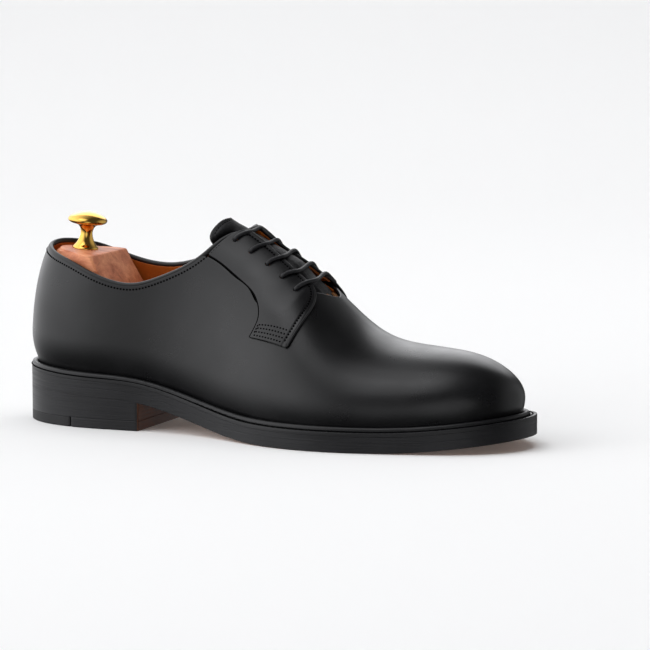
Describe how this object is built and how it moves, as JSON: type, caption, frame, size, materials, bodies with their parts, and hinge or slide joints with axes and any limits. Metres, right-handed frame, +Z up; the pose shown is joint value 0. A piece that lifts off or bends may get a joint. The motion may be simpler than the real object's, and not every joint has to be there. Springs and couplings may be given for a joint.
{
  "type": "derby shoe with shoe tree",
  "caption": "Right-foot plain-toe leather derby with open lacing, storm welt and stacked heel, held in shape by a sprung cedar shoe tree with a turned knob.",
  "frame": {"origin": "on the ground, under the middle of the whole shoe", "axes": "+X towards the toe, -Y towards the outer side of the foot, +Z up"},
  "size_m": [0.301, 0.1086, 0.1175],
  "materials": {
    "upper_leather": "smooth black calf, waxed to a soft shine",
    "tongue_leather": "black grained leather, satin",
    "welt_leather": "black dyed welt, satin",
    "heel_leather": "black dyed and waxed leather edge",
    "sole_leather": "natural tan oak-bark leather, satin",
    "sole_rubber": "black rubber, matt",
    "insole_leather": "undyed veg-tan leather",
    "lining_leather": "tan lining leather, satin",
    "lining_fabric": "undyed cotton drill",
    "stiffener": "pressed leather board, matt",
    "cork": "granulated cork and resin, matt",
    "lace": "waxed black cotton cord",
    "lace_tip": "gloss black",
    "cedar": "unvarnished aromatic cedar, sanded",
    "knob_brass": "polished",
    "nail_brass": "brushed by wear",
    "tree_steel": "zinc plated, satin",
    "spring_steel": "bright drawn wire",
    "shank_steel": "blued strip"
  },
  "bodies": {
    "shoe": {"top_piece_rubber": "sole_rubber", "top_piece_leather": "heel_leather", "heel_lift_1": "heel_leather", "heel_lift_2": "heel_leather", "heel_lift_3": "heel_leather", "heel_nail_1": "nail_brass", "heel_nail_2": "nail_brass", "heel_nail_3": "nail_brass", "heel_nail_4": "nail_brass", "heel_nail_5": "nail_brass", "outsole": "sole_leather", "midsole": "heel_leather", "welt": "welt_leather", "cork_filler": "cork", "shank": "shank_steel", "insole": "insole_leather", "sock_lining": "lining_leather", "vamp_and_quarters": "upper_leather", "toe_puff": "stiffener", "heel_counter": "stiffener", "facing_lateral": "upper_leather", "facing_medial": "upper_leather", "vamp_lining": "lining_fabric", "quarter_lining": "lining_leather", "topline_binding": "upper_leather", "tongue": "tongue_leather", "tongue_lining": "lining_leather", "shoelace": "lace", "lace_tip_lateral": "lace_tip", "lace_tip_medial": "lace_tip", "tree_toe_spring_1": "spring_steel", "tree_toe_spring_2": "spring_steel", "tree_cross_pin": "tree_steel", "tree_outer_tube": "tree_steel", "tree_main_spring": "spring_steel"},
    "tree_heel": {"tree_heel_block": "cedar", "tree_knob": "knob_brass", "tree_knob_stud": "tree_steel", "tree_plunger_rod": "tree_steel"},
    "tree_toe_lateral_half": {"tree_toe_lateral": "cedar"},
    "tree_toe_medial_half": {"tree_toe_medial": "cedar"}
  },
  "joints": [
    {"name": "heel_block_slide", "type": "slide", "parent": "shoe", "child": "tree_heel", "axis": [1, 0, 0], "range_m": [0, 0.008], "stiffness_N_per_m": 1500, "deforming": ["tree_main_spring"]},
    {"name": "toe_half_lateral_slide", "type": "slide", "parent": "shoe", "child": "tree_toe_lateral_half", "axis": [0, 1, 0], "range_m": [0, 0.0015], "stiffness_N_per_m": 3000, "deforming": ["tree_toe_spring_1", "tree_toe_spring_2"]},
    {"name": "toe_half_medial_slide", "type": "slide", "parent": "shoe", "child": "tree_toe_medial_half", "axis": [0, -1, 0], "range_m": [0, 0.0015], "stiffness_N_per_m": 3000, "deforming": ["tree_toe_spring_1", "tree_toe_spring_2"]}
  ]
}
